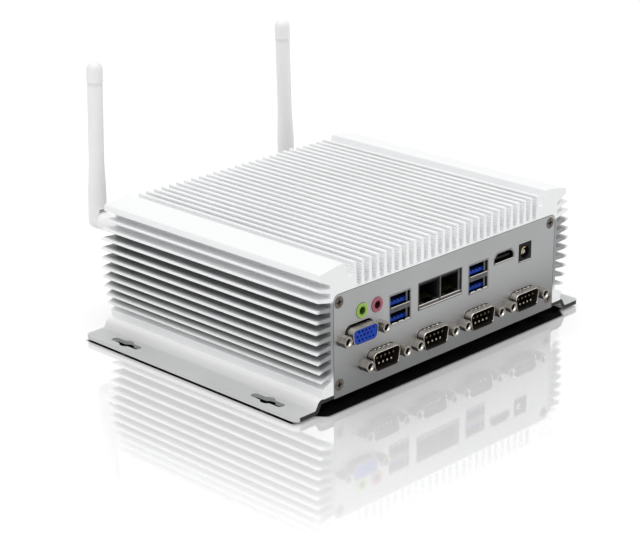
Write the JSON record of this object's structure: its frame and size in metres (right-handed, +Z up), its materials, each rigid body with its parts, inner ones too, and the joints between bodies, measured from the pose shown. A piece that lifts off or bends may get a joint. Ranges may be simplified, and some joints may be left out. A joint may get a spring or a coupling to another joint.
{
  "type": "fanless industrial computer",
  "caption": "Fanless industrial computer in a finned extruded case on a flanged base plate, with a socket panel at one end and tilting whip antennas at the other.",
  "frame": {"origin": "centre of the bounding box's underside, with the antennas upright; the feet stand on z = 0", "axes": "+X to the right along the socket panel as one faces it, +Y from the socket panel to the antenna end, +Z up"},
  "size_m": [0.2028, 0.1862, 0.1279],
  "materials": {
    "anodised_aluminium": "satin clear anodised extrusion",
    "panel_aluminium": "satin anodised flat panel",
    "plate_steel": "fine grey powder coat on bent sheet",
    "black_screws": "black oxide",
    "nickel": "bright nickel plate on stamped steel",
    "steel_cage": "bright tinned steel",
    "black_plastic": "fine matte moulding",
    "blue_plastic": "glossy moulding",
    "green_plastic": "glossy moulding",
    "pink_plastic": "glossy moulding",
    "gold": "gold plate",
    "white_plastic": "satin white moulding",
    "rubber": "matte",
    "lamp_lens": "clear lens",
    "board": "green solder mask",
    "copper": "bare copper",
    "silicon": "dark polished package"
  },
  "bodies": {
    "case": {"finned_housing": "anodised_aluminium", "io_panel": "panel_aluminium", "rear_panel": "panel_aluminium", "power_button_bezel": "panel_aluminium", "base_plate": "plate_steel", "rubber_foot_1": "rubber", "rubber_foot_2": "rubber", "rubber_foot_3": "rubber", "rubber_foot_4": "rubber", "io_panel_screws": "black_screws", "rear_panel_screws": "black_screws", "base_screws": "black_screws", "vga_shell": "nickel", "com_1_shell": "nickel", "com_2_shell": "nickel", "com_3_shell": "nickel", "com_4_shell": "nickel", "hex_screwlocks": "nickel", "com_pins": "nickel", "board_standoffs": "nickel", "board_screws": "nickel", "dc_jack_pin": "nickel", "coin_cell": "nickel", "usb_left_cage": "steel_cage", "usb_right_cage": "steel_cage", "lan_cage": "steel_cage", "hdmi_shell": "steel_cage", "com_1_insert": "black_plastic", "com_2_insert": "black_plastic", "com_3_insert": "black_plastic", "com_4_insert": "black_plastic", "lan_insert": "black_plastic", "hdmi_tongue": "black_plastic", "dc_jack_body": "black_plastic", "antenna_leads": "black_plastic", "vga_insert": "blue_plastic", "usb_left_core": "blue_plastic", "usb_right_core": "blue_plastic", "audio_jack_line": "green_plastic", "audio_jack_mic": "pink_plastic", "antenna_left_jack": "gold", "antenna_right_jack": "gold", "antenna_left_nut": "gold", "antenna_right_nut": "gold", "antenna_left_coupling": "gold", "antenna_right_coupling": "gold", "status_lamps": "lamp_lens", "mainboard": "board", "memory_module": "board", "storage_card": "board", "wireless_card": "board", "serial_board": "board", "processor": "silicon", "heat_block": "copper"},
    "left_neck": {"antenna_left_neck": "white_plastic"},
    "left_whip": {"antenna_left_whip": "white_plastic"},
    "right_neck": {"antenna_right_neck": "white_plastic"},
    "right_whip": {"antenna_right_whip": "white_plastic"},
    "power_button": {"power_button": "panel_aluminium"}
  },
  "joints": [
    {"name": "antenna_left_swivel", "type": "hinge", "parent": "case", "child": "left_neck", "pos_m": [-0.0665, 0.0698, 0.0471], "axis": [0, 1, 0], "range_deg": [-180, 180]},
    {"name": "antenna_left_tilt", "type": "hinge", "parent": "left_neck", "child": "left_whip", "pos_m": [-0.0665, 0.0885, 0.0471], "axis": [-0.9994, 0, 0.0349], "range_deg": [0, 90]},
    {"name": "antenna_right_swivel", "type": "hinge", "parent": "case", "child": "right_neck", "pos_m": [0.0665, 0.0698, 0.0471], "axis": [0, 1, 0], "range_deg": [-180, 180]},
    {"name": "antenna_right_tilt", "type": "hinge", "parent": "right_neck", "child": "right_whip", "pos_m": [0.0665, 0.0885, 0.0471], "axis": [-0.9998, 0, -0.0209], "range_deg": [0, 90]},
    {"name": "power_button_press", "type": "slide", "parent": "case", "child": "power_button", "axis": [0, -1, 0], "range_m": [0, 0.0015], "stiffness_N_per_m": 800, "springref_m": -0.001}
  ]
}
